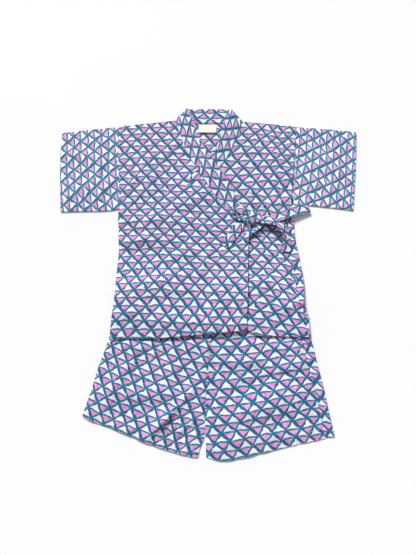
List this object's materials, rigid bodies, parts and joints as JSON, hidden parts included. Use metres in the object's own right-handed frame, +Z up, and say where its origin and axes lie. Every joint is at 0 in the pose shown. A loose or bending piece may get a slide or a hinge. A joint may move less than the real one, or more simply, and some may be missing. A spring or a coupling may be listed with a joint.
{
  "type": "child's jinbei set",
  "caption": "Child's jinbei set laid flat: a wrap top with short sleeves, a folded neckband and a tied bow, over wide shorts with a gathered waist.",
  "frame": {"origin": "centre of the footprint, on the surface the set lies on", "axes": "+X to the right as seen from above, +Y from the hems of the shorts towards the collar, +Z up from the surface"},
  "size_m": [0.6014, 0.683, 0.0208],
  "materials": {
    "top_cloth": "woven cotton, printed with teal diamonds split into white and pink triangles",
    "sleeve_cloth": "woven cotton, the same print turned a quarter",
    "neckband_cloth": "woven cotton folded double, the same print along the band",
    "tie_cloth": "narrow woven cotton ties folded double, the same print",
    "shorts_cloth": "woven cotton, the same print at a slant",
    "label_cloth": "bare cream woven label"
  },
  "bodies": {
    "root": {"back_panel": "top_cloth", "over_front": "top_cloth", "under_front": "top_cloth", "sleeve_left": "sleeve_cloth", "sleeve_right": "sleeve_cloth", "neckband": "neckband_cloth", "label": "label_cloth", "tie_knot": "tie_cloth", "tie_loop": "tie_cloth", "tie_tail_left": "tie_cloth", "tie_side": "tie_cloth", "tie_tail_right": "tie_cloth", "shorts_front_left": "shorts_cloth", "shorts_front_right": "shorts_cloth", "shorts_back_left": "shorts_cloth", "shorts_back_right": "shorts_cloth", "waistband": "shorts_cloth"}
  },
  "joints": []
}
